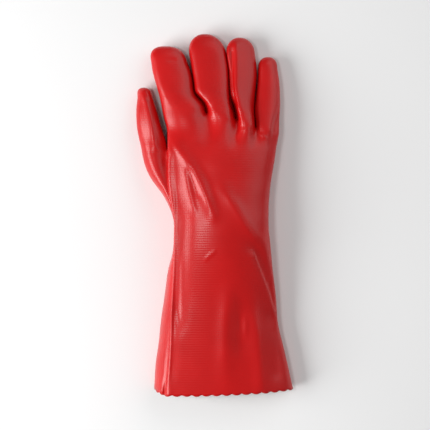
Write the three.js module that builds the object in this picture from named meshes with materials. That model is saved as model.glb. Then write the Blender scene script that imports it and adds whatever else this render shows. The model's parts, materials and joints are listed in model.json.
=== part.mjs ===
// A long dipped work glove for the right hand, empty, lying palm down and keeping its moulded form.
// One closed shell: an outer skin, an inner skin one wall below it, and a scalloped rim at the hem.
// Millimetres. +Y runs from the hem to the fingertips, +X to the little finger, +Z up.

import * as THREE from "three";

// Driving sizes

const WALL = 1.4;
const BODY_LENGTH = 266;
const CUFF_WIDTH = 134.7;
const WRIST_WIDTH = 92;
const PALM_WIDTH = 106;
const CUFF_HEIGHT = 40;
const WRIST_HEIGHT = 49;
const PALM_HEIGHT = 45;
const FINGER_GAP = 0.4;
const FOLD_LEAN = 1.5;
const SIDE_RADIUS = 5;
const UNDER_WIDTH = 10;
const HEM_RISE = 8;
const SCALLOP_PITCH = 9.5;
const SCALLOP_DEPTH = 1.6;
const FOLD_HEIGHT = 3;
const FOLD_WIDTH = 10;

// Steps round and along the skin

const RIM_STEPS = 2;
const FLAP_STEPS = 5;
const WALL_STEPS = 2;
const WEB_STEPS = 2;
const CROWN_STEPS = 6;
const EDGE_STEPS = 4;
const FLOOR_STEPS = 3;
const CUFF_ROWS = 10;
const HAND_ROWS = 15;
const KNUCKLE_ROWS = 5;
const DIGIT_ROWS = 8;
const CAP_ROWS = 5;
const SCALLOP_STEPS = 4;
const HEM_SAMPLES = 8;

// Corners of a digit's section, in degrees round it: 0 is its right side, a quarter turn its crown
const QUARTER_TURN = 90;
const HALF_TURN = 180;
const FINGER_CORNER = 25;
const THUMB_CORNER = 45;
const THUMB_WEB_CORNER = 20;

// Plan of the body, seen from above. at: share of BODY_LENGTH from the hem; left edge, crest of the
// long fold and right edge: shares of the width that the row names.
const PLAN = [
  { at: 0, width: CUFF_WIDTH, left: -0.446, crest: -0.344, right: 0.56 },
  { at: 0.087, width: CUFF_WIDTH, left: -0.438, crest: -0.333, right: 0.525 },
  { at: 0.178, width: CUFF_WIDTH, left: -0.416, crest: -0.321, right: 0.487 },
  { at: 0.268, width: CUFF_WIDTH, left: -0.399, crest: -0.313, right: 0.448 },
  { at: 0.359, width: CUFF_WIDTH, left: -0.372, crest: -0.304, right: 0.435 },
  { at: 0.45, width: WRIST_WIDTH, left: -0.508, crest: -0.433, right: 0.603 },
  { at: 0.54, width: WRIST_WIDTH, left: -0.446, crest: -0.423, right: 0.578 },
  { at: 0.624, width: WRIST_WIDTH, left: -0.439, crest: -0.418, right: 0.556 },
  { at: 0.685, width: WRIST_WIDTH, left: -0.49, crest: -0.445, right: 0.558 },
  { at: 0.74, width: PALM_WIDTH, left: -0.503, crest: -0.409, right: 0.493 },
  { at: 0.794, width: PALM_WIDTH, left: -0.604, crest: -0.425, right: 0.511 },
  { at: 0.849, width: PALM_WIDTH, left: -0.66, crest: -0.428, right: 0.535 },
  { at: 0.8925, width: PALM_WIDTH, left: -0.683, crest: -0.428, right: 0.551 },
  { at: 0.958, width: PALM_WIDTH, left: -0.688, crest: -0.43, right: 0.58 },
  { at: 1.03, width: PALM_WIDTH, left: -0.688, crest: -0.474, right: 0.6 },
];

// Heights of the body, as shares of the height that the row names. top: the back of the hand; ridge and
// foot: the upper and lower end of the long fold; swell: how far the side flap bulges; edge and side: the
// left and right outermost points; floor: the underside.
const HEIGHTS = [
  {
    at: 0, height: CUFF_HEIGHT, top: 0.9, ridge: 0.825, foot: 0.75,
    swell: 0, edge: 0.15, side: 0.25, floor: 0,
  },
  {
    at: 0.268, height: CUFF_HEIGHT, top: 1, ridge: 0.9, foot: 0.82,
    swell: 0, edge: 0.2, side: 0.325, floor: 0,
  },
  {
    at: 0.36, height: CUFF_HEIGHT, top: 1.05, ridge: 0.91, foot: 0.84,
    swell: 0, edge: 0.24, side: 0.35, floor: 0,
  },
  {
    at: 0.45, height: WRIST_HEIGHT, top: 0.92, ridge: 0.765, foot: 0.7,
    swell: 0, edge: 0.286, side: 0.367, floor: 0.01,
  },
  {
    at: 0.54, height: WRIST_HEIGHT, top: 0.98, ridge: 0.786, foot: 0.72,
    swell: 0.02, edge: 0.388, side: 0.408, floor: 0.04,
  },
  {
    at: 0.624, height: WRIST_HEIGHT, top: 1, ridge: 0.796, foot: 0.73,
    swell: 0.02, edge: 0.388, side: 0.449, floor: 0.06,
  },
  {
    at: 0.685, height: WRIST_HEIGHT, top: 0.98, ridge: 0.776, foot: 0.71,
    swell: 0.04, edge: 0.327, side: 0.429, floor: 0.05,
  },
  {
    at: 0.74, height: PALM_HEIGHT, top: 1.04, ridge: 0.822, foot: 0.72,
    swell: 0.07, edge: 0.289, side: 0.467, floor: 0.02,
  },
  {
    at: 0.8, height: PALM_HEIGHT, top: 1, ridge: 0.822, foot: 0.62,
    swell: 0.11, edge: 0.267, side: 0.444, floor: 0,
  },
  {
    at: 0.85, height: PALM_HEIGHT, top: 0.98, ridge: 0.811, foot: 0.52,
    swell: 0.14, edge: 0.267, side: 0.422, floor: 0,
  },
  {
    at: 0.8925, height: PALM_HEIGHT, top: 0.93, ridge: 0.8, foot: 0.46,
    swell: 0.16, edge: 0.267, side: 0.4, floor: 0.018,
  },
  {
    at: 0.958, height: PALM_HEIGHT, top: 0.89, ridge: 0.68, foot: 0.4,
    swell: 0.16, edge: 0.267, side: 0.378, floor: 0.056,
  },
  {
    at: 1.03, height: PALM_HEIGHT, top: 0.82, ridge: 0.58, foot: 0.4,
    swell: 0.16, edge: 0.267, side: 0.378, floor: 0.089,
  },
];

// Places along the body, as shares of BODY_LENGTH
const CUFF_END = 0.45;
const THUMB_ROOT = 0.8925;
const HEM_FADE = 0.25;

// Shapes of the sections. The powers are those of an ellipse, at 2, or of a squarer arch, above it.
const BACK_POWER = 2.6;
const FLOOR_POWER = 4;
const KNUCKLE_POWER = 3;
const CREST_POWER = 3;
const FLAP_POWER = 1.6;
const FLAP_TURN = 1.4;
const CAP_POWER = 0.8;
const FLAT_SHARE = 0.55;
const RIGHT_STEP = 0.95;
const ROOT_FADE = 0.4;
const OUTER_HEM = 0.53;
const LEAST_SQUARE = 0.7;

// The five rails between the fingers, from the index finger's outer side to the little finger's.
// across: share of the way from the crest to the right edge at the roots; along: share of BODY_LENGTH;
// pit and under: the web's upper and lower end, as shares of PALM_HEIGHT.
const RAILS = [
  { name: "index side", across: 0, along: 1.008, pit: 0.58, under: 0.05 },
  { name: "index and middle", across: 0.362, along: 1.023, pit: 0.5, under: 0.16 },
  { name: "middle and ring", across: 0.612, along: 1.001, pit: 0.46, under: 0.16 },
  { name: "ring and little", across: 0.785, along: 0.968, pit: 0.5, under: 0.16 },
  { name: "little side", across: 0.95, along: 0.958, pit: 0.5, under: 0.05 },
];

// Fingers and thumb. lean: how far the tip lies to the right of the root; peak: how far the crown sits
// off the middle, as a share of the half width; arch: 2 is an ellipse, less is a sharper crown;
// tip: 2 is a round end, more is blunter; cap: share of the length where the end starts to close.
const FINGERS = [
  {
    name: "index", length: 69.6, width: 36.5, height: 24, lean: -16.7,
    peak: -0.1, arch: 2.8, tip: 2.5, cap: 0.77,
    outline: [
      { at: 0.16, left: -0.554, right: 0.6 },
      { at: 0.23, left: -0.556, right: 0.54 },
      { at: 0.29, left: -0.56, right: 0.44 },
      { at: 0.36, left: -0.57, right: 0.402 },
      { at: 0.49, left: -0.585, right: 0.434 },
      { at: 0.62, left: -0.595, right: 0.45 },
      { at: 0.77, left: -0.57, right: 0.405 },
    ],
  },
  {
    name: "middle", length: 82.2, width: 37, height: 24, lean: -12.9,
    peak: 0, arch: 3, tip: 2.1, cap: 0.76,
    outline: [
      { at: 0.1, left: -0.345, right: 0.363 },
      { at: 0.17, left: -0.401, right: 0.35 },
      { at: 0.21, left: -0.463, right: 0.35 },
      { at: 0.25, left: -0.55, right: 0.352 },
      { at: 0.3, left: -0.59, right: 0.36 },
      { at: 0.42, left: -0.579, right: 0.388 },
      { at: 0.56, left: -0.582, right: 0.42 },
      { at: 0.75, left: -0.58, right: 0.412 },
    ],
  },
  {
    name: "ring", length: 86, width: 27.5, height: 25, lean: -3.8,
    peak: -0.5, arch: 2.1, tip: 2.1, cap: 0.82,
    outline: [
      { at: 0.1, left: -0.43, right: 0.29 },
      { at: 0.19, left: -0.437, right: 0.302 },
      { at: 0.28, left: -0.494, right: 0.352 },
      { at: 0.39, left: -0.512, right: 0.405 },
      { at: 0.51, left: -0.513, right: 0.46 },
      { at: 0.62, left: -0.515, right: 0.49 },
      { at: 0.73, left: -0.55, right: 0.475 },
      { at: 0.82, left: -0.57, right: 0.445 },
    ],
  },
  {
    name: "little", length: 73.1, width: 24, height: 21, lean: 1.2,
    peak: -0.1, arch: 2.4, tip: 2.3, cap: 0.84,
    outline: [
      { at: 0.17, left: -0.524, right: 0.49 },
      { at: 0.25, left: -0.56, right: 0.505 },
      { at: 0.32, left: -0.547, right: 0.515 },
      { at: 0.41, left: -0.509, right: 0.517 },
      { at: 0.55, left: -0.471, right: 0.504 },
      { at: 0.68, left: -0.435, right: 0.472 },
      { at: 0.84, left: -0.425, right: 0.39 },
    ],
  },
];

const THUMB = {
  name: "thumb", length: 61.7, width: 25.5, height: 23, lean: -10.7,
  peak: 0.25, arch: 1.8, tip: 2.6, cap: 0.85,
  outline: [
    { at: 0.27, left: -0.545, right: 0.45 },
    { at: 0.46, left: -0.51, right: 0.409 },
    { at: 0.66, left: -0.435, right: 0.352 },
    { at: 0.85, left: -0.308, right: 0.288 },
  ],
};

// Height of a digit's crown and underside along it, as shares of its own height.
const DIGIT_HEIGHTS = [
  { at: 0, top: 1.4, floor: 0.2 },
  { at: 0.15, top: 1.29, floor: 0.15 },
  { at: 0.3, top: 1.19, floor: 0.09 },
  { at: 0.5, top: 1.06, floor: 0.04 },
  { at: 0.7, top: 0.94, floor: 0 },
  { at: 1, top: 0.78, floor: 0 },
];
const THUMB_HEIGHTS = [
  { at: 0, top: 1.25, floor: 0.02 },
  { at: 0.5, top: 1.12, floor: 0 },
  { at: 1, top: 0.8, floor: 0 },
];

// Ridges and grooves pressed into the back of the glove. rise: share of FOLD_HEIGHT, below zero for a
// groove; spread: share of FOLD_WIDTH; path: across is the share of the way from the crest to the right
// edge, along the share of BODY_LENGTH.
const FOLDS = [
  {
    name: "ridge from the index root to the wrist", rise: 0.5, spread: 0.6,
    path: [
      { across: 0.03, along: 0.945 },
      { across: 0.12, along: 0.87 },
      { across: 0.22, along: 0.82 },
      { across: 0.3, along: 0.77 },
      { across: 0.4, along: 0.66 },
    ],
  },
  {
    name: "valley beside the long fold", rise: -0.6, spread: 0.7,
    path: [
      { across: 0.06, along: 0.88 },
      { across: 0.09, along: 0.7 },
      { across: 0.07, along: 0.5 },
      { across: 0.05, along: 0.28 },
    ],
  },
  {
    name: "crease across the heel of the hand", rise: 0.3, spread: 0.8,
    path: [
      { across: 0.52, along: 0.75 },
      { across: 0.77, along: 0.61 },
      { across: 1, along: 0.5 },
    ],
  },
  {
    name: "step down to the outer side of the cuff", rise: -0.8, spread: 0.9,
    path: [
      { across: 0.86, along: 0.52 },
      { across: 0.93, along: 0.4 },
      { across: 0.96, along: 0.27 },
    ],
  },
  {
    name: "middle wave of the cuff", rise: 0.35, spread: 0.8,
    path: [
      { across: 0.53, along: 0.36 },
      { across: 0.49, along: 0.2 },
      { across: 0.47, along: 0.07 },
    ],
  },
  {
    name: "outer wave of the cuff", rise: 0.4, spread: 0.7,
    path: [
      { across: 0.8, along: 0.27 },
      { across: 0.76, along: 0.12 },
      { across: 0.74, along: 0 },
    ],
  },
  {
    name: "hollow between the cuff's waves", rise: -0.35, spread: 0.7,
    path: [
      { across: 0.66, along: 0.33 },
      { across: 0.62, along: 0.18 },
    ],
  },
];

// Small helpers

function mix(from, to, share) {
  return from + (to - from) * share;
}

function ease(share) {
  const held = Math.min(1, Math.max(0, share));
  return held * held * (3 - 2 * held);
}

function radians(degrees) {
  return (degrees * Math.PI) / 180;
}

// A smooth value through a table's rows, which never overshoots them.
function along(rows, place, valueOf) {
  const last = rows.length - 1;
  if (place <= rows[0].at) return valueOf(rows[0]);
  if (place >= rows[last].at) return valueOf(rows[last]);
  const next = rows.findIndex((row) => row.at >= place);
  const slope = (a, b) => (valueOf(rows[b]) - valueOf(rows[a])) / (rows[b].at - rows[a].at);
  const tangent = (row) => {
    if (row === 0) return slope(0, 1);
    if (row === last) return slope(last - 1, last);
    const before = slope(row - 1, row);
    const after = slope(row, row + 1);
    return before * after <= 0 ? 0 : (2 * before * after) / (before + after);
  };
  const span = rows[next].at - rows[next - 1].at;
  const s = (place - rows[next - 1].at) / span;
  const from = valueOf(rows[next - 1]);
  const to = valueOf(rows[next]);
  return (
    from * (1 + 2 * s) * (1 - s) ** 2 +
    tangent(next - 1) * span * s * (1 - s) ** 2 +
    to * s * s * (3 - 2 * s) +
    tangent(next) * span * s * s * (s - 1)
  );
}

// Sizes of the body at one place along it

function bodyAt(place) {
  const wide = (key) => along(PLAN, place, (row) => row[key] * row.width);
  const high = (key) => along(HEIGHTS, place, (row) => row[key] * row.height);
  return {
    left: wide("left"),
    crest: wide("crest"),
    right: wide("right"),
    top: high("top"),
    ridge: high("ridge"),
    foot: high("foot"),
    swell: high("swell"),
    edge: high("edge"),
    side: high("side"),
    floor: high("floor"),
  };
}

// Share of the way from the crest to the right edge for a rail, which spreads evenly towards the hem.
function railAcross(rail, place) {
  const even = (rail / (RAILS.length - 1)) * RIGHT_STEP;
  return mix(even, RAILS[rail].across, ease((place - CUFF_END) / (THUMB_ROOT - CUFF_END)));
}

function railValue(position, valueOf) {
  const rail = Math.min(RAILS.length - 2, Math.floor(position));
  return mix(valueOf(rail), valueOf(rail + 1), position - rail);
}

// Rise of the folds at a point of the back, as a distance to each path
function foldRise(across, place) {
  const width = PALM_WIDTH;
  const here = new THREE.Vector2(across * width, place * BODY_LENGTH);
  let rise = 0;
  for (const fold of FOLDS) {
    const points = fold.path.map((p) => new THREE.Vector2(p.across * width, p.along * BODY_LENGTH));
    let nearest = Infinity;
    for (let i = 1; i < points.length; i += 1) {
      const leg = points[i].clone().sub(points[i - 1]);
      const share = here.clone().sub(points[i - 1]).dot(leg) / leg.lengthSq();
      const foot = points[i - 1].clone().addScaledVector(leg, Math.min(1, Math.max(0, share)));
      nearest = Math.min(nearest, foot.distanceTo(here));
    }
    rise += fold.rise * FOLD_HEIGHT * Math.exp(-((nearest / (fold.spread * FOLD_WIDTH)) ** 2));
  }
  return rise;
}

// Back and underside of the hand and cuff, across from the crest at 0 to the right edge at 1

function backHeight(body, across) {
  const dome = Math.sqrt(Math.max(0, 1 - across ** BACK_POWER));
  const crestShare = (1 - across) ** CREST_POWER;
  return body.side + (body.top - body.side) * dome + (body.ridge - body.top) * crestShare;
}

// The underside is flat up to FLAT_SHARE of the way across, and then turns up.
function floorHeight(body, across) {
  const turned = Math.max(0, across - FLAT_SHARE) / (1 - FLAT_SHARE);
  return body.side - (body.side - body.floor) * Math.sqrt(Math.max(0, 1 - turned ** FLOOR_POWER));
}

// The arch of one finger root between its two rails
function archHeight(position, crowns) {
  const finger = Math.min(FINGERS.length - 1, Math.floor(position));
  const share = position - finger;
  const base = railValue(position, (rail) => RAILS[rail].pit * PALM_HEIGHT);
  const crown = crowns[finger] - base;
  return base + crown * Math.sqrt(Math.max(0, 1 - Math.abs(2 * share - 1) ** KNUCKLE_POWER));
}

const ROOT_CROWNS = FINGERS.map((finger) => finger.height * DIGIT_HEIGHTS[0].top);

// A point of the body's skin: side names the stretch round the section, share the place along it.
function bodyPoint(side, share, place, knuckle) {
  const body = bodyAt(place);
  const footX = body.crest - FOLD_LEAN;
  const y = place * BODY_LENGTH + hemRise(side, share) * ease(1 - place / HEM_FADE);
  const at = (x, z) => new THREE.Vector3(x, y, z);
  const railX = (position) =>
    mix(body.crest, body.right, railValue(position, (rail) => railAcross(rail, place)));
  const innerX = Math.max(footX, body.left + SIDE_RADIUS + UNDER_WIDTH);
  const fingers = FINGERS.length;
  if (side === "rim") {
    const turn = radians(QUARTER_TURN * share);
    return at(
      body.left + SIDE_RADIUS * (1 - Math.sin(turn)),
      mix(body.floor, body.edge, 1 - Math.cos(turn)),
    );
  }
  if (side === "flap") {
    const rise = mix(body.edge, body.foot, 1 - (1 - share) ** FLAP_TURN);
    return at(mix(body.left, footX, share ** FLAP_POWER), rise + body.swell * Math.sin(Math.PI * share));
  }
  if (side === "web") return at(mix(innerX, footX, share), mix(body.floor, body.foot, share));
  if (side === "wall") return at(mix(footX, body.crest, share ** 2), mix(body.foot, body.ridge, share));
  if (side === "back") {
    const position = share * fingers;
    const across = railValue(position, (rail) => railAcross(rail, place));
    const smooth = backHeight(body, across);
    const arched = archHeight(position, ROOT_CROWNS);
    return at(railX(position), mix(smooth, arched, ease(knuckle)) + foldRise(across, place) * (1 - knuckle));
  }
  if (side === "edge") {
    const across = 1 - (1 - RIGHT_STEP) * (2 * share - 1) ** 2;
    const height = share < 0.5 ? backHeight(body, across) : floorHeight(body, across);
    return at(mix(body.crest, body.right, across), height);
  }
  if (side === "palm") {
    const position = (1 - share) * fingers;
    const across = railValue(position, (rail) => railAcross(rail, place));
    const between = Math.abs(2 * (position - Math.floor(position)) - 1) ** 2;
    const lift = railValue(position, (rail) => RAILS[rail].under * PALM_HEIGHT) - body.floor;
    const rise = Math.max(0, lift) * between * ease(knuckle);
    const aside = (innerX - body.crest) * share ** 2;
    return at(railX(position) + aside, floorHeight(body, across) + rise);
  }
  // the stretch under the side flap, from below the fold back to the left side
  return at(mix(innerX, body.left + SIDE_RADIUS, share), body.floor);
}

// How far the hem is set back from the longest point of the cuff
function hemRise(side, share) {
  if (side === "wall") return HEM_RISE * (1 - share);
  if (side === "back") return HEM_RISE * OUTER_HEM * share ** 2;
  if (side === "edge") return HEM_RISE * OUTER_HEM;
  if (side === "palm") return HEM_RISE * mix(OUTER_HEM, 1, share);
  return HEM_RISE;
}

// The skin, as points and as faces of point numbers

const points = [];
const faces = [];

function addPoint(point) {
  points.push(point);
  return points.length - 1;
}

// A band of quads between two rings of equal length
function addBand(lower, upper) {
  lower.forEach((corner, i) => {
    const next = (i + 1) % lower.length;
    faces.push([corner, upper[next], upper[i]], [corner, lower[next], upper[next]]);
  });
}

function addCap(ring, pole) {
  ring.forEach((corner, i) => faces.push([corner, ring[(i + 1) % ring.length], pole]));
}

const BACK_STEPS = CROWN_STEPS * FINGERS.length;
const PALM_STEPS = FLOOR_STEPS * FINGERS.length;

// Stretches round a section, in order, with their steps
const BODY_SIDES = [
  { side: "rim", steps: RIM_STEPS },
  { side: "flap", steps: FLAP_STEPS },
  { side: "wall", steps: WALL_STEPS },
  { side: "back", steps: BACK_STEPS },
  { side: "edge", steps: EDGE_STEPS },
  { side: "palm", steps: PALM_STEPS },
  { side: "under", steps: FLOOR_STEPS },
];
const HAND_SIDES = [
  { side: "web", steps: WEB_STEPS },
  { side: "wall", steps: WALL_STEPS },
  { side: "back", steps: BACK_STEPS },
  { side: "edge", steps: EDGE_STEPS },
  { side: "palm", steps: PALM_STEPS },
];

// Columns of a ring: the start of each step. The edge's first column is the end of the back.
function columnsOf(sides) {
  return sides.flatMap(({ side, steps }) =>
    Array.from({ length: steps }, (_, step) =>
      side === "edge" && step === 0 ? { side: "back", share: 1 } : { side, share: step / steps },
    ),
  );
}

const bodyColumns = columnsOf(BODY_SIDES);
const handColumns = columnsOf(HAND_SIDES);

function bodyRing(place) {
  return bodyColumns.map(({ side, share }) => addPoint(bodyPoint(side, share, place, 0)));
}

// Body from the hem to the root of the thumb

const places = [];
for (let row = 1; row <= CUFF_ROWS; row += 1) places.push((CUFF_END * row) / CUFF_ROWS);
for (let row = 1; row <= HAND_ROWS; row += 1) places.push(mix(CUFF_END, THUMB_ROOT, row / HAND_ROWS));

let lastRing = null;
let firstRing = null;
for (const place of places) {
  const ring = bodyRing(place);
  if (lastRing) addBand(lastRing, ring);
  firstRing ??= ring;
  lastRing = ring;
}
const rootRing = lastRing;

// Where a named stretch starts in the body's ring
function startOf(sides, wanted) {
  let start = 0;
  for (const { side, steps } of sides) {
    if (side === wanted) return start;
    start += steps;
  }
  return start;
}

const flapEnd = startOf(BODY_SIDES, "wall");
const underStart = startOf(BODY_SIDES, "under");

// Web between the thumb and the hand, from the floor up to the foot of the fold
const thumbWeb = [];
for (let step = 1; step < WEB_STEPS; step += 1) {
  thumbWeb.push(addPoint(bodyPoint("web", step / WEB_STEPS, THUMB_ROOT, 0)));
}
const handRoot = [rootRing[underStart], ...thumbWeb, ...rootRing.slice(flapEnd, underStart)];
const thumbRoot = [
  ...rootRing.slice(0, flapEnd + 1),
  ...[...thumbWeb].reverse(),
  ...rootRing.slice(underStart),
];

// Hand from the root of the thumb to the slanted line of the finger roots

function rootPlace(side, share) {
  const last = RAILS.length - 1;
  if (side === "back") return railValue(share * last, (rail) => RAILS[rail].along);
  if (side === "palm") return railValue((1 - share) * last, (rail) => RAILS[rail].along);
  if (side === "edge") return RAILS[last].along;
  return RAILS[0].along;
}

let handRing = handRoot;
for (let row = 1; row <= KNUCKLE_ROWS; row += 1) {
  const knuckle = row / KNUCKLE_ROWS;
  const ring = handColumns.map(({ side, share }) => {
    const place = mix(THUMB_ROOT, rootPlace(side, share), knuckle);
    return addPoint(bodyPoint(side, share, place, knuckle));
  });
  addBand(handRing, ring);
  handRing = ring;
}

// Digits: a row of rings that starts as the root's own ring and turns into rounded sections

function digitSection(digit, heights, place) {
  const held = Math.min(place, digit.cap);
  const closing = Math.max(0, (place - digit.cap) / (1 - digit.cap));
  const rounded = (1 - closing ** digit.tip) ** (1 / digit.tip);
  const left = along(digit.outline, held, (row) => row.left * digit.width);
  const right = along(digit.outline, held, (row) => row.right * digit.width);
  const top = along(heights, place, (row) => row.top * digit.height);
  const floor = along(heights, place, (row) => row.floor * digit.height);
  const gap = FINGER_GAP / 2;
  return {
    middle: (left + right) / 2,
    halfWidth: ((right - left) / 2 - gap) * rounded,
    rest: (top + floor) / 2,
    halfHeight: ((top - floor) / 2) * rounded ** CAP_POWER,
  };
}

function digitPoint(digit, heights, root, place, degrees) {
  const section = digitSection(digit, heights, place);
  const turn = radians(degrees);
  const power = 2 / digit.arch;
  const across = Math.sign(Math.cos(turn)) * Math.abs(Math.cos(turn)) ** power;
  const up = Math.sign(Math.sin(turn)) * Math.abs(Math.sin(turn)) ** power;
  const peak = digit.peak * section.halfWidth * Math.max(0, up) ** 2;
  return new THREE.Vector3(
    root.x + digit.lean * place + section.middle + section.halfWidth * across + peak,
    root.y + digit.length * place,
    section.rest + section.halfHeight * up,
  );
}

function addDigit(digit, heights, rootIds, angles) {
  const root = new THREE.Vector3();
  const starts = rootIds.map((id) => points[id]);
  const low = starts.reduce((least, p) => Math.min(least, p.x), Infinity);
  const high = starts.reduce((most, p) => Math.max(most, p.x), -Infinity);
  root.x = (low + high) / 2;
  root.y = starts.reduce((sum, p) => sum + p.y, 0) / starts.length;
  const rows = [];
  for (let row = 1; row <= DIGIT_ROWS; row += 1) rows.push((digit.cap * row) / DIGIT_ROWS);
  for (let row = 1; row < CAP_ROWS; row += 1) {
    rows.push(mix(digit.cap, 1, Math.sin(radians((QUARTER_TURN * row) / CAP_ROWS))));
  }
  let lower = rootIds;
  for (const place of rows) {
    const kept = 1 - ease(place / ROOT_FADE);
    const ring = angles.map((degrees, i) => {
      const start = digitPoint(digit, heights, root, 0, degrees);
      const offset = starts[i].clone().sub(start).multiplyScalar(kept);
      return addPoint(digitPoint(digit, heights, root, place, degrees).add(offset));
    });
    addBand(lower, ring);
    lower = ring;
  }
  const end = digitSection(digit, heights, 1);
  const pole = new THREE.Vector3(
    root.x + digit.lean + end.middle,
    root.y + digit.length,
    end.rest,
  );
  addCap(lower, addPoint(pole));
}

// Angles round a digit's section, falling from its lower left corner
function anglesThrough(stretches) {
  return stretches.flatMap(({ from, to, steps }) =>
    Array.from({ length: steps }, (_, step) => mix(from, to, step / steps)),
  );
}

addDigit(
  THUMB,
  THUMB_HEIGHTS,
  thumbRoot,
  anglesThrough([
    { from: HALF_TURN + THUMB_CORNER, to: HALF_TURN, steps: RIM_STEPS },
    { from: HALF_TURN, to: THUMB_WEB_CORNER, steps: FLAP_STEPS },
    { from: THUMB_WEB_CORNER, to: -THUMB_CORNER, steps: WEB_STEPS },
    { from: -THUMB_CORNER, to: THUMB_CORNER - HALF_TURN, steps: FLOOR_STEPS },
  ]),
);

const backStart = startOf(HAND_SIDES, "back");
const edgeStart = startOf(HAND_SIDES, "edge");
const palmStart = startOf(HAND_SIDES, "palm");

// The webs between neighbouring fingers: an upper corner, points below it and a lower corner
const webs = RAILS.slice(1, -1).map((rail, i) => {
  const upper = handRing[backStart + CROWN_STEPS * (i + 1)];
  const lower = handRing[palmStart + FLOOR_STEPS * (FINGERS.length - 1 - i)];
  const between = [];
  for (let step = 1; step < WEB_STEPS; step += 1) {
    between.push(addPoint(points[upper].clone().lerp(points[lower], step / WEB_STEPS)));
  }
  return { upper, between, lower };
});

FINGERS.forEach((finger, i) => {
  const first = i === 0;
  const last = i === FINGERS.length - 1;
  const leftSide = first
    ? handRing.slice(0, backStart)
    : [webs[i - 1].lower, ...[...webs[i - 1].between].reverse()];
  const crownStart = backStart + CROWN_STEPS * i;
  const crown = handRing.slice(crownStart, crownStart + CROWN_STEPS);
  const rightSide = last ? handRing.slice(edgeStart, palmStart) : [webs[i].upper, ...webs[i].between];
  const floorStart = palmStart + FLOOR_STEPS * (FINGERS.length - 1 - i);
  const floor = handRing.slice(floorStart, floorStart + FLOOR_STEPS);
  addDigit(
    finger,
    DIGIT_HEIGHTS,
    [...leftSide, ...crown, ...rightSide, ...floor],
    anglesThrough([
      { from: HALF_TURN + FINGER_CORNER, to: HALF_TURN - FINGER_CORNER, steps: leftSide.length },
      { from: HALF_TURN - FINGER_CORNER, to: FINGER_CORNER, steps: crown.length },
      { from: FINGER_CORNER, to: -FINGER_CORNER, steps: rightSide.length },
      { from: -FINGER_CORNER, to: FINGER_CORNER - HALF_TURN, steps: floor.length },
    ]),
  );
});

// Hem: a finer ring cut in scallops, joined to the first row of the body

function hemOutline() {
  return columnsOf(BODY_SIDES).flatMap((column, i, all) => {
    const here = bodyPoint(column.side, column.share, 0, 0);
    const nextColumn = all[(i + 1) % all.length];
    const next = bodyPoint(nextColumn.side, nextColumn.share, 0, 0);
    return Array.from({ length: HEM_SAMPLES }, (_, step) => here.clone().lerp(next, step / HEM_SAMPLES));
  });
}

function lengthsRound(ring) {
  const lengths = [0];
  ring.forEach((point, i) => lengths.push(lengths[i] + point.distanceTo(ring[(i + 1) % ring.length])));
  return lengths;
}

const outline = hemOutline();
const outlineLengths = lengthsRound(outline);
const hemLength = outlineLengths[outlineLengths.length - 1];
const scallops = Math.round(hemLength / SCALLOP_PITCH);
const hemShares = Array.from({ length: scallops * SCALLOP_STEPS }, (_, i) => i / (scallops * SCALLOP_STEPS));
const hemRing = hemShares.map((share, i) => {
  const wanted = share * hemLength;
  const next = outlineLengths.findIndex((length) => length > wanted);
  const from = outline[next - 1];
  const to = outline[next % outline.length];
  const part = (wanted - outlineLengths[next - 1]) / (outlineLengths[next] - outlineLengths[next - 1]);
  const point = from.clone().lerp(to, part);
  point.y += SCALLOP_DEPTH * (1 - Math.abs(Math.sin((Math.PI * i) / SCALLOP_STEPS)));
  return addPoint(point);
});

// Triangles between two rings of unlike length, each stepping on when it lags behind
function addUnequalBand(lower, lowerShares, upper, upperShares) {
  let low = 0;
  let high = 0;
  const shareOf = (shares, i) => (i < shares.length ? shares[i] : 1 + shares[i - shares.length]);
  while (low < lower.length || high < upper.length) {
    const stepLow =
      high >= upper.length ||
      (low < lower.length && shareOf(lowerShares, low + 1) <= shareOf(upperShares, high + 1));
    const a = lower[low % lower.length];
    const b = upper[high % upper.length];
    if (stepLow) {
      faces.push([a, lower[(low + 1) % lower.length], b]);
      low += 1;
    } else {
      faces.push([a, upper[(high + 1) % upper.length], b]);
      high += 1;
    }
  }
}

const columnShares = bodyColumns.map((_, i) => outlineLengths[i * HEM_SAMPLES] / hemLength);
addUnequalBand(hemRing, hemShares, firstRing, columnShares);

// The inner skin lies one wall below the outer one, measured square to the faces round each point.
function insetPoints() {
  const sums = points.map(() => new THREE.Vector3());
  const normals = faces.map(([a, b, c]) => {
    const normal = new THREE.Vector3()
      .subVectors(points[b], points[a])
      .cross(new THREE.Vector3().subVectors(points[c], points[a]));
    [a, b, c].forEach((corner) => sums[corner].add(normal));
    return normal.normalize();
  });
  sums.forEach((sum) => sum.normalize());
  const lean = points.map(() => ({ total: 0, count: 0 }));
  faces.forEach((corners, i) =>
    corners.forEach((corner) => {
      lean[corner].total += normals[i].dot(sums[corner]);
      lean[corner].count += 1;
    }),
  );
  return points.map((point, i) => {
    const square = Math.max(LEAST_SQUARE, lean[i].total / lean[i].count);
    return point.clone().addScaledVector(sums[i], -WALL / square);
  });
}

function gloveGeometry() {
  const inner = insetPoints();
  const shift = points.length;
  const shell = faces.map((face) => [...face]);
  faces.forEach(([a, b, c]) => shell.push([c + shift, b + shift, a + shift]));
  hemRing.forEach((corner, i) => {
    const next = hemRing[(i + 1) % hemRing.length];
    shell.push([corner, next + shift, next], [corner, corner + shift, next + shift]);
  });
  const geometry = new THREE.BufferGeometry();
  geometry.setFromPoints([...points, ...inner]);
  geometry.setIndex(shell.flat());
  geometry.computeBoundingBox();
  const middle = geometry.boundingBox.getCenter(new THREE.Vector3());
  geometry.translate(-middle.x, -middle.y, -geometry.boundingBox.min.z);
  geometry.computeVertexNormals();
  return geometry;
}

const coatedRed = new THREE.MeshStandardMaterial({ color: 0xc41f1c, roughness: 0.4, metalness: 0 });

const shell = new THREE.Mesh(gloveGeometry(), coatedRed);
shell.name = "glove_shell";

const glove = new THREE.Group();
glove.add(shell);

export default glove;
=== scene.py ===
import json
import math

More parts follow.
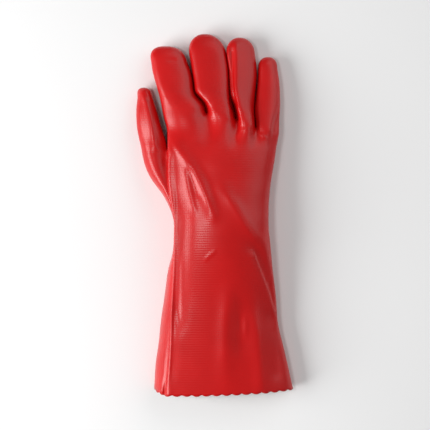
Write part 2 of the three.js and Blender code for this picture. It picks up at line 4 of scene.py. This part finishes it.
import bpy
import numpy as np
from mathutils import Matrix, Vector

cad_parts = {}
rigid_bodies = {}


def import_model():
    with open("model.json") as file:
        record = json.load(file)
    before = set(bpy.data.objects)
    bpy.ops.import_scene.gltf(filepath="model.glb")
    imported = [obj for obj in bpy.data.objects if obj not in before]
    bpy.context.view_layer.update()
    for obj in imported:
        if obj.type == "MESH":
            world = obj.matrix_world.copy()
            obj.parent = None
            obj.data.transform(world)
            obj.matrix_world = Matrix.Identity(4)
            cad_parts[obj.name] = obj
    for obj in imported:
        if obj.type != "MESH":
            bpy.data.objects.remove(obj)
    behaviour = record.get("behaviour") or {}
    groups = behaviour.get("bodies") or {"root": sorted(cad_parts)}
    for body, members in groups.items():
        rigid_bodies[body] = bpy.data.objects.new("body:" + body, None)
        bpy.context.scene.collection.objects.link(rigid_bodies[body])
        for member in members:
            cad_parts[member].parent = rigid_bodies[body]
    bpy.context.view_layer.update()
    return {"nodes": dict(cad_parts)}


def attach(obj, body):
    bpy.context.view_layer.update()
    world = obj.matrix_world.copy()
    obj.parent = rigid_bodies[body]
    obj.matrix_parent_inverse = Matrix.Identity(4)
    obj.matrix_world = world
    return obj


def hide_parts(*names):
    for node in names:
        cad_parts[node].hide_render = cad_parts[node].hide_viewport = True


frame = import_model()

# A long red dipped work glove, lying palm down on a pale floor, its back to the camera.
# Metres. +Y runs to the fingertips, +X to the little finger, +Z up.

MM = 0.001

# Skin: the solid's rows beyond HEM_ROW_TOP are its hem, which is made anew here
MERGE_DISTANCE = 0.01 * MM
HEM_ROW_TOP = -165 * MM
SKIN_LEVELS = 2
SMOOTH_ANGLE = math.radians(75)

# Wall: thickened inwards, its inner skin in the second material
WALL = 1.4 * MM
INWARDS = -1
LINING_SLOT = 1

# Pinked hem
SCALLOP_PITCH = 9.5 * MM
SCALLOP_DEPTH = 1.7 * MM

# Hem line: its furthest place, the crest of the long fold, and how far the rest is set back
HEM_FRONT = -175.4 * MM
HEM_CREST = -45.6 * MM
HEM_CREST_HEIGHT = 33 * MM
HEM_REACH = 120 * MM
HEM_BACK = 4.2 * MM
HEM_DROP = 6.5 * MM
HEM_UNDER_POWER = 4

# The back is evened out round the slanted line where the creases between the fingers end
ROOT_LINE = 96 * MM
ROOT_SLOPE = -0.3
ROOT_FACING = 0.35
ROOT_SMOOTHING = 0.5
ROOT_BANDS = [
    {"below": 48 * MM, "above": 0.0, "passes": 50},
    {"below": 56 * MM, "above": 8 * MM, "passes": 6},
]

# Folds pressed into the back: rise above the skin, spread to the left and right of the path, and
# the path itself as (x, y), all in millimetres. A fold with a negative rise is a groove. "fade" is
# the share of the path over which the fold dies away at each end.
FOLDS = [
    {
        "name": "ridge from the index root to the wrist",
        "rise": 1.1, "left": 2.0, "right": 7.0, "fade": 0.2,
        "path": [
            (-43.4, 76.3), (-32.9, 57.2), (-23.4, 43.9), (-15.7, 31.5), (-8.1, 15.3), (-2.4, 0.0),
        ],
    },
    {
        "name": "groove in the thumb web",
        "rise": -0.7, "left": 3.0, "right": 2.6, "fade": 0.25,
        "path": [(-27.2, 48.6), (-22.4, 38.1), (-18.6, 25.7), (-15.7, 13.3)],
    },
    {
        "name": "ridge in the thumb web",
        "rise": 0.9, "left": 3.6, "right": 3.0, "fade": 0.25,
        "path": [(-29.1, 50.5), (-27.2, 37.2), (-24.3, 22.9), (-20.5, 8.6), (-15.7, -3.8)],
    },
    {
        "name": "swell right of the long fold",
        "rise": 0.9, "left": 4.0, "right": 7.0, "fade": 0.2,
        "path": [
            (-37.5, 56.0), (-35.8, 37.2), (-33.9, 13.3),
            (-33.9, -15.3), (-34.8, -53.4), (-35.8, -101.1),
        ],
    },
    {
        "name": "groove beside the long fold",
        "rise": -0.8, "left": 2.0, "right": 4.6, "fade": 0.12,
        "path": [
            (-37.5, 45.0), (-35.4, 13.0), (-35.6, -35.0),
            (-37.6, -85.0), (-40.0, -132.0), (-41.5, -168.0),
        ],
    },
    {
        "name": "thin ridge beside the long fold",
        "rise": 0.25, "left": 2.0, "right": 2.4, "fade": 0.25,
        "path": [(-31.0, -34.3), (-31.0, -72.5), (-31.9, -110.6)],
    },
    {
        "name": "crease on the wrist",
        "rise": 0.45, "left": 1.3, "right": 1.3, "fade": 0.3,
        "path": [(-10.9, -45.7), (-4.3, -39.0), (3.3, -34.3)],
    },
    {
        "name": "long crease across the heel of the hand",
        "rise": 0.45, "left": 3.0, "right": 4.5, "fade": 0.2,
        "path": [(7.1, 24.7), (18.6, 6.7), (30.0, -11.4), (40.5, -25.7), (51.9, -40.0)],
    },
    {
        "name": "short crease across the heel of the hand",
        "rise": 0.4, "left": 2.0, "right": 3.0, "fade": 0.25,
        "path": [(16.7, 18.1), (28.1, 0.0), (39.5, -17.1), (50.9, -32.4)],
    },
    {
        "name": "crease down the outer side of the cuff",
        "rise": 1.4, "left": 6.0, "right": 1.3, "fade": 0.15,
        "path": [(34.9, -30.6), (39.7, -45.9), (45.5, -60.3), (51.2, -74.7), (58.9, -100.5)],
    },
    {
        "name": "middle wave of the cuff",
        "rise": 0.35, "left": 5.0, "right": 5.0, "fade": 0.25,
        "path": [(10.0, -82.3), (9.1, -115.7), (8.1, -149.2)],
    },
    {
        "name": "short ridge on the cuff",
        "rise": 0.35, "left": 2.4, "right": 2.4, "fade": 0.4,
        "path": [(29.2, -93.7), (30.1, -108.1), (29.2, -122.4)],
    },
    {
        "name": "hollow beside the short ridge",
        "rise": -0.3, "left": 2.4, "right": 2.4, "fade": 0.4,
        "path": [(24.4, -93.7), (25.3, -115.7)],
    },
    {
        "name": "outer wave of the cuff",
        "rise": 0.4, "left": 5.0, "right": 5.0, "fade": 0.2,
        "path": [(42.7, -101.6), (44.6, -135.2), (45.5, -172.6)],
    },
    {
        "name": "outer valley of the cuff",
        "rise": -0.9, "left": 6.0, "right": 5.0, "fade": 0.2,
        "path": [(59.1, -106.7), (60.1, -135.5), (61.0, -164.3)],
    },
    {
        "name": "crease by the long fold",
        "rise": 0.5, "left": 1.8, "right": 1.8, "fade": 0.35,
        "path": [(-38.7, -91.8), (-34.9, -110.9)],
    },
    {
        "name": "crease below the little finger",
        "rise": 0.4, "left": 1.2, "right": 1.2, "fade": 0.35,
        "path": [(37.7, 82.1), (52.0, 70.7)],
    },
    {
        "name": "crease below the ring finger",
        "rise": 0.3, "left": 1.4, "right": 1.4, "fade": 0.35,
        "path": [(24.3, 80.1), (33.8, 82.0)],
    },
    {
        "name": "dent of the index tip",
        "rise": -0.5, "left": 2.2, "right": 2.2, "fade": 0.35,
        "path": [(-47.0, 147.2), (-41.2, 149.2), (-35.4, 150.1)],
    },
    {
        "name": "edge of the ring finger",
        "rise": 0.9, "left": 1.2, "right": 4.5, "fade": 0.1,
        "path": [(20.2, 169.4), (20.2, 119.4), (22.6, 109.7), (24.5, 95.3)],
    },
    {
        "name": "shaded side of the ring finger",
        "rise": -2.2, "left": 2.4, "right": 2.6, "fade": 0.15,
        "path": [(16.2, 166.0), (16.4, 125.0), (18.0, 110.0), (20.5, 98.0)],
    },
    {
        "name": "edge of the thumb",
        "rise": 1.0, "left": 4.0, "right": 1.6, "fade": 0.1,
        "path": [
            (-72.3, 120.3), (-65.5, 107.7), (-61.6, 94.1),
            (-59.7, 79.5), (-56.7, 66.9), (-54.8, 60.1),
        ],
    },
    {
        "name": "crease between the index and middle fingers",
        "rise": -1.0, "left": 1.6, "right": 1.6, "fade": 0.25,
        "path": [(-20.7, 117.2), (-15.9, 111.5), (-11.1, 106.7), (-6.2, 95.1)],
    },
    {
        "name": "pit between the middle and ring fingers",
        "rise": -1.0, "left": 1.6, "right": 1.6, "fade": 0.25,
        "path": [(14.9, 114.4), (17.8, 101.9), (23.5, 88.4)],
    },
]

# Upward share of the normal at which the folds begin to show, and at which they stand in full
FOLD_FACING = 0.05
FOLD_FACING_FULL = 0.35

# Knit relief: the yarn's unevenness, how far it shifts the waves, the height of a wale beside that
# of a course, and the group's inputs as they stand until a material sets its own
YARN = {"Scale": 180.0, "Detail": 3.0}
YARN_SHIFT = 3.0
WALE_SHARE = 0.3
KNIT_INPUTS = {"Course pitch": 2.2, "Wale pitch": 1.5, "Unevenness": 0.5}

# Finishes: colours are linear, a knit's pitches are in millimetres, and a span is the part of the
# pattern over which the first colour turns into the second
FULL_SPAN = (0.0, 1.0)

COATING_COLOURS = [(0.49, 0.003, 0.0034, 1), (0.57, 0.004, 0.0045, 1)]
COATING_SPAN = (0.3, 0.7)
COATING_PATCHES = {"Scale": 18.0, "Detail": 3.0, "Roughness": 0.6}
COATING_ROUGHNESS = {"To Min": 0.27, "To Max": 0.35}
COATING_IOR = 1.46
COATING_KNIT = {"Course pitch": 2.3, "Wale pitch": 1.8, "Unevenness": 0.8}
COATING_BUMP = {"Strength": 0.3, "Distance": 0.06 * MM}

# Lining colours from the low relief to the high: the first is painted shade between the ribs,
# mixed with the yarn's own uneven tone
LINING_SHADE_AND_TONE_COLOURS = [(0.62, 0.42, 0.38, 1), (0.84, 0.76, 0.7, 1)]
LINING_ROUGHNESS = 0.9
LINING_KNIT = {"Course pitch": 1.4, "Wale pitch": 1.1, "Unevenness": 1.2}
LINING_BUMP = {"Strength": 0.8, "Distance": 0.25 * MM}

FLOOR_SIZE = 6
FLOOR_COLOURS = [(0.86, 0.86, 0.86, 1), (0.88, 0.88, 0.88, 1)]
FLOOR_ROUGHNESS = 0.9
FLOOR_GRAIN = {"Scale": 3.0, "Detail": 2.0}

# Camera: straight above the glove, far enough for the photograph's perspective. Lens and sensor
# are in millimetres.
CAMERA_PLACE = (0.49 * MM, -0.98 * MM, 1300 * MM)
CAMERA_LENS = 110.6
CAMERA_SENSOR = 36

# Lights, each turned to the middle of the glove: place, width and height of the softbox in metres,
# power in watts
LIGHTS = [
    {
        "name": "key_softbox",
        "place": (-0.32, 0.02, 1.2), "width": 0.14, "height": 0.18, "power": 2.6,
    },
    {
        "name": "side_softbox",
        "place": (-1.3, -0.35, 0.75), "width": 1.2, "height": 0.9, "power": 29,
    },
    {
        "name": "fill_softbox",
        "place": (1.2, 1.1, 1.0), "width": 2.6, "height": 1.8, "power": 17,
    },
]
WORLD_COLOUR = (1, 1, 1, 1)
WORLD_STRENGTH = 0.19


# Selection, vertices and modifiers


def choose(piece):
    """Makes the piece the only one selected and the active one."""
    bpy.ops.object.select_all(action="DESELECT")
    piece.select_set(True)
    bpy.context.view_layer.objects.active = piece


def select_vertices(piece, chosen):
    """Selects the vertices that the mask names, and leaves edit mode on with them."""
    bpy.ops.object.mode_set(mode="EDIT")
    bpy.ops.mesh.select_mode(type="VERT")
    bpy.ops.mesh.select_all(action="DESELECT")
    bpy.ops.object.mode_set(mode="OBJECT")
    piece.data.vertices.foreach_set("select", chosen)
    bpy.ops.object.mode_set(mode="EDIT")


def places_of(mesh):
    """The places of the mesh's vertices, one row each."""
    places = np.zeros(len(mesh.vertices) * 3)
    mesh.vertices.foreach_get("co", places)
    return places.reshape(-1, 3)


def normals_of(mesh):
    """The normals at the mesh's vertices, one row each."""
    normals = np.zeros(len(mesh.vertices) * 3)
    mesh.vertex_normals.foreach_get("vector", normals)
    return normals.reshape(-1, 3)


def move_vertices(mesh, places):
    """Puts the mesh's vertices at the places, one row each."""
    mesh.vertices.foreach_set("co", places.astype(np.float32).ravel())
    mesh.update()


def apply_modifier(piece, kind, **values):
    """Adds a modifier with these values and applies it."""
    choose(piece)
    modifier = piece.modifiers.new(kind.lower(), kind)
    for key, value in values.items():
        setattr(modifier, key, value)
    bpy.ops.object.modifier_apply(modifier=modifier.name)


# Skin of the glove


def outer_skin(node, name):
    """The node's outer skin as a new piece of quads, without its hem rows and open there."""
    piece = bpy.data.objects.new(name, node.data.copy())
    bpy.context.scene.collection.objects.link(piece)
    choose(piece)
    bpy.ops.object.mode_set(mode="EDIT")
    bpy.ops.mesh.select_all(action="SELECT")
    bpy.ops.mesh.remove_doubles(threshold=MERGE_DISTANCE)
    bpy.ops.object.mode_set(mode="OBJECT")
    piece.data.materials.clear()

    select_vertices(piece, places_of(piece.data)[:, 1] < HEM_ROW_TOP)
    bpy.ops.mesh.delete(type="VERT")
    bpy.ops.object.mode_set(mode="OBJECT")

    # With the hem gone the two skins are apart, and the highest vertex lies on the outer one.
    heights = places_of(piece.data)[:, 2]
    select_vertices(piece, heights == heights.max())
    bpy.ops.mesh.select_linked()
    bpy.ops.mesh.select_all(action="INVERT")
    bpy.ops.mesh.delete(type="VERT")
    bpy.ops.mesh.select_all(action="SELECT")
    bpy.ops.mesh.tris_convert_to_quads(face_threshold=math.pi, shape_threshold=math.pi)
    bpy.ops.object.mode_set(mode="OBJECT")
    return piece


def hem_edges(mesh):
    """The mesh's open edges, as pairs of vertex numbers."""
    used = {}
    for polygon in mesh.polygons:
        for key in polygon.edge_keys:
            used[key] = used.get(key, 0) + 1
    return [key for key, count in used.items() if count == 1]


def hem_line(place):
    """Y of the hem: furthest out at the crest of the long fold, and set back to either side."""
    x, z = place[0], place[2]
    right = HEM_BACK * min(1, max(0, (x - HEM_CREST) / HEM_REACH)) ** 2
    low = min(1, max(0, (HEM_CREST_HEIGHT - z) / HEM_CREST_HEIGHT))
    left = HEM_DROP * low * (x < HEM_CREST)
    under = HEM_DROP * low**HEM_UNDER_POWER
    return HEM_FRONT + max(right, left, under)


def run_out_hem(piece):
    """Extrudes the open ring to the hem line, each column running on as it leans."""
    mesh = piece.data
    open_vertices = {v for key in hem_edges(mesh) for v in key}
    ahead = {}
    for edge in mesh.edges:
        for here, there in (edge.vertices, reversed(edge.vertices)):
            if here in open_vertices and there not in open_vertices:
                ahead[here] = there
    count = len(mesh.vertices)
    ring = np.zeros(count, bool)
    ring[list(open_vertices)] = True
    select_vertices(piece, ring)
    bpy.ops.mesh.extrude_edges_move()
    bpy.ops.object.mode_set(mode="OBJECT")
    places = places_of(mesh)
    for edge in mesh.edges:
        low, high = sorted(edge.vertices)
        if high >= count > low:
            lean = places[low] - places[ahead[low]]
            drop = hem_line(places[low]) - places[low][1]
            places[high] = places[low] + lean * (drop / lean[1])
    move_vertices(mesh, places)


def smooth_skin(piece):
    """Subdivides the skin, first swollen so that the smooth skin passes close to its corners."""
    mesh = piece.data
    count = len(mesh.vertices)
    modifier = piece.modifiers.new("skin", "SUBSURF")
    modifier.levels = modifier.render_levels = SKIN_LEVELS
    cage = places_of(mesh)
    seen = piece.evaluated_get(bpy.context.evaluated_depsgraph_get())
    limit = places_of(seen.data)[:count]
    move_vertices(mesh, 2 * cage - limit)
    choose(piece)
    bpy.ops.object.modifier_apply(modifier=modifier.name)


def soften_roots(piece):
    """Evens out the height of the back where the fingers join it."""
    mesh = piece.data
    for band in ROOT_BANDS:
        places, normals = places_of(mesh), normals_of(mesh)
        past = places[:, 1] - ROOT_LINE - ROOT_SLOPE * places[:, 0]
        near = (past > -band["below"]) & (past < band["above"])
        select_vertices(piece, near & (normals[:, 2] > ROOT_FACING))
        bpy.ops.mesh.vertices_smooth(
            factor=ROOT_SMOOTHING, repeat=band["passes"], xaxis=False, yaxis=False
        )
        bpy.ops.object.mode_set(mode="OBJECT")


def ease(share):
    """Turns a share from 0 to 1 into one that starts and ends gently."""
    held = np.clip(share, 0, 1)
    return held * held * (3 - 2 * held)


def fold_rise(fold, x, y):
    """Rise of one fold at each point, from its distance to the path and its place along it."""
    path = np.array(fold["path"]) * MM
    legs = np.diff(path, axis=0)
    lengths = np.hypot(legs[:, 0], legs[:, 1])
    starts = np.concatenate([[0], np.cumsum(lengths)])
    nearest = np.full(len(x), np.inf)
    side = np.zeros(len(x))
    run = np.zeros(len(x))
    for start, leg, length, before in zip(path, legs, lengths, starts):
        dx, dy = x - start[0], y - start[1]
        share = np.clip((dx * leg[0] + dy * leg[1]) / length**2, 0, 1)
        away = np.hypot(dx - share * leg[0], dy - share * leg[1])
        closer = away < nearest
        nearest = np.where(closer, away, nearest)
        side = np.where(closer, np.sign(leg[0] * dy - leg[1] * dx), side)
        run = np.where(closer, before + share * length, run)
    goes_down = np.sign(path[0][1] - path[-1][1])
    spread = np.where(side * goes_down < 0, fold["left"], fold["right"]) * MM
    along = run / starts[-1]
    ends = ease(along / fold["fade"]) * ease((1 - along) / fold["fade"])
    return fold["rise"] * MM * np.exp(-((nearest / spread) ** 2)) * ends


def press_folds(piece):
    """Moves the upper skin along its normals, ridge by ridge and groove by groove."""
    mesh = piece.data
    places, normals = places_of(mesh), normals_of(mesh)
    facing = ease((normals[:, 2] - FOLD_FACING) / (FOLD_FACING_FULL - FOLD_FACING))
    rise = sum(fold_rise(fold, places[:, 0], places[:, 1]) for fold in FOLDS)
    move_vertices(mesh, places + normals * (rise * facing)[:, None])


def rest_on_floor(piece):
    """Flattens what reaches below the floor."""
    places = places_of(piece.data)
    places[:, 2] = np.maximum(places[:, 2], 0)
    move_vertices(piece.data, places)


def pink_hem(piece):
    """Cuts the hem into scallops, by the distance round it."""
    mesh = piece.data
    places = places_of(mesh)
    beside = {}
    for first, second in hem_edges(mesh):
        beside.setdefault(first, []).append(second)
        beside.setdefault(second, []).append(first)
    start = min(beside, key=lambda v: places[v][0])
    ring, lengths = [start], [0.0]
    last = None
    here = start
    while True:
        following = next(v for v in beside[here] if v != last)
        lengths.append(lengths[-1] + np.linalg.norm(places[following] - places[here]))
        last, here = here, following
        if here == start:
            break
        ring.append(here)
    total = lengths.pop()
    count = round(total / SCALLOP_PITCH)
    for vertex, run in zip(ring, lengths):
        bulge = abs(math.sin(math.pi * count * run / total))
        places[vertex][1] += SCALLOP_DEPTH * (1 - bulge)
    move_vertices(mesh, places)


# Materials


def set_inputs(tree, node, values):
    """Sets the node's inputs to the values, or joins them to other nodes' outputs."""
    for key, value in values.items():
        if isinstance(value, bpy.types.NodeSocket):
            tree.links.new(value, node.inputs[key])
        else:
            node.inputs[key].default_value = value


def add_node(tree, kind, inputs):
    """A new node with its inputs set or joined."""
    made = tree.nodes.new(kind)
    set_inputs(tree, made, inputs)
    return made


def place_group(tree, group, inputs):
    """The output of a node group, placed with its inputs set or joined."""
    made = tree.nodes.new("ShaderNodeGroup")
    made.node_tree = group
    set_inputs(tree, made, inputs)
    return made.outputs[0]


def maths(tree, operation, first, second=0.0):
    """The output of a maths node on two values or outputs."""
    made = tree.nodes.new("ShaderNodeMath")
    made.operation = operation
    set_inputs(tree, made, {0: first, 1: second})
    return made.outputs[0]


def blend_colours(tree, factor, colours, span):
    """The output of a ramp from one colour to the other over a span of the factor."""
    ramp = tree.nodes.new("ShaderNodeValToRGB")
    tree.links.new(factor, ramp.inputs[0])
    for element, position, colour in zip(ramp.color_ramp.elements, span, colours):
        element.position = position
        element.color = colour
    return ramp.outputs[0]


def new_material(name):
    """A new material, its node tree, its shader and the object's own place."""
    material = bpy.data.materials.new(name)
    material.use_nodes = True
    tree = material.node_tree
    place = tree.nodes.new("ShaderNodeTexCoord").outputs["Object"]
    return material, tree, tree.nodes["Principled BSDF"], place


def knit_group():
    """Relief of a fine rib knit: courses across the glove and wales along it, with uneven yarn."""
    group = bpy.data.node_groups.new("knit_relief", "ShaderNodeTree")
    sockets = group.interface
    sockets.new_socket("Place", in_out="INPUT", socket_type="NodeSocketVector")
    for name, value in KNIT_INPUTS.items():
        socket = sockets.new_socket(name, in_out="INPUT", socket_type="NodeSocketFloat")
        socket.default_value = value
    sockets.new_socket("Height", in_out="OUTPUT", socket_type="NodeSocketFloat")
    start = group.nodes.new("NodeGroupInput")
    end = group.nodes.new("NodeGroupOutput")
    place = start.outputs["Place"]
    uneven = add_node(group, "ShaderNodeTexNoise", {"Vector": place, **YARN}).outputs[0]
    axes = add_node(group, "ShaderNodeSeparateXYZ", {"Vector": place})
    shift = maths(group, "MULTIPLY", uneven, YARN_SHIFT)
    waves = []
    for axis, pitch in (("Y", "Course pitch"), ("X", "Wale pitch")):
        turns = maths(group, "MULTIPLY", axes.outputs[axis], 2 * math.pi / MM)
        phase = maths(group, "DIVIDE", turns, start.outputs[pitch])
        waves.append(maths(group, "SINE", maths(group, "ADD", phase, shift)))
    courses, wales = waves
    knit = maths(group, "ADD", courses, maths(group, "MULTIPLY", wales, WALE_SHARE))
    yarn = maths(group, "MULTIPLY", uneven, start.outputs["Unevenness"])
    group.links.new(maths(group, "ADD", knit, yarn), end.inputs["Height"])
    return group


def coated_material(knit):
    """Semi-gloss red coating in faint patches, with the knit showing through as a low relief."""
    material, tree, shader, place = new_material("dipped_red")
    patches = add_node(tree, "ShaderNodeTexNoise", {"Vector": place, **COATING_PATCHES}).outputs[0]
    shine = add_node(tree, "ShaderNodeMapRange", {"Value": patches, **COATING_ROUGHNESS})
    relief = place_group(tree, knit, {"Place": place, **COATING_KNIT})
    bump = add_node(tree, "ShaderNodeBump", {"Height": relief, **COATING_BUMP})
    set_inputs(tree, shader, {
        "Base Color": blend_colours(tree, patches, COATING_COLOURS, COATING_SPAN),
        "Roughness": shine.outputs[0],
        "Normal": bump.outputs[0],
        "IOR": COATING_IOR,
    })
    return material


def lining_material(knit):
    """Pale cotton knit with painted shade between its ribs: its colour follows the knit relief,
    darker in the low places, and also varies with the yarn's uneven tone.
    """
    material, tree, shader, place = new_material("cotton_lining")
    relief = place_group(tree, knit, {"Place": place, **LINING_KNIT})
    bump = add_node(tree, "ShaderNodeBump", {"Height": relief, **LINING_BUMP})
    set_inputs(tree, shader, {
        # Painted shade: the colour is taken from the knit relief, darker in the low places between
        # the ribs
        "Base Color": blend_colours(tree, relief, LINING_SHADE_AND_TONE_COLOURS, FULL_SPAN),
        "Roughness": LINING_ROUGHNESS,
        "Normal": bump.outputs[0],
    })
    return material


def floor_material():
    """Pale matt floor with a faint grain."""
    material, tree, shader, place = new_material("pale_floor")
    grain = add_node(tree, "ShaderNodeTexNoise", {"Vector": place, **FLOOR_GRAIN}).outputs[0]
    set_inputs(tree, shader, {
        "Base Color": blend_colours(tree, grain, FLOOR_COLOURS, FULL_SPAN),
        "Roughness": FLOOR_ROUGHNESS,
    })
    return material


# Studio


def add_floor():
    """Adds the floor, which is stage and no part of the glove."""
    bpy.ops.mesh.primitive_plane_add(size=FLOOR_SIZE)
    floor = bpy.context.active_object
    floor.name = "floor"
    floor.data.materials.append(floor_material())


def add_camera():
    """Adds the camera, looking straight down."""
    data = bpy.data.cameras.new("camera")
    data.lens = CAMERA_LENS
    data.sensor_width = CAMERA_SENSOR
    camera = bpy.data.objects.new("camera", data)
    camera.location = CAMERA_PLACE
    bpy.context.scene.collection.objects.link(camera)
    bpy.context.scene.camera = camera


def add_lights():
    """Adds the softboxes and the even light all round."""
    for row in LIGHTS:
        data = bpy.data.lights.new(row["name"], "AREA")
        data.shape = "RECTANGLE"
        data.size, data.size_y = row["width"], row["height"]
        data.energy = row["power"]
        light = bpy.data.objects.new(row["name"], data)
        light.location = row["place"]
        light.rotation_euler = (-Vector(row["place"])).to_track_quat("-Z", "Y").to_euler()
        bpy.context.scene.collection.objects.link(light)
    world = bpy.data.worlds.new("studio")
    world.use_nodes = True
    set_inputs(world.node_tree, world.node_tree.nodes["Background"], {
        "Color": WORLD_COLOUR,
        "Strength": WORLD_STRENGTH,
    })
    bpy.context.scene.world = world
    bpy.context.scene.view_settings.view_transform = "Standard"


add_camera()
add_lights()
add_floor()

knit = knit_group()
glove = outer_skin(frame["nodes"]["glove_shell"], "dipped_glove")
run_out_hem(glove)
smooth_skin(glove)
soften_roots(glove)
press_folds(glove)
rest_on_floor(glove)
pink_hem(glove)
glove.data.materials.append(coated_material(knit))
glove.data.materials.append(lining_material(knit))
apply_modifier(
    glove, "SOLIDIFY", thickness=WALL, offset=INWARDS, material_offset=LINING_SLOT
)
choose(glove)
bpy.ops.object.shade_smooth_by_angle(angle=SMOOTH_ANGLE)

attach(glove, "root")
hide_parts("glove_shell")
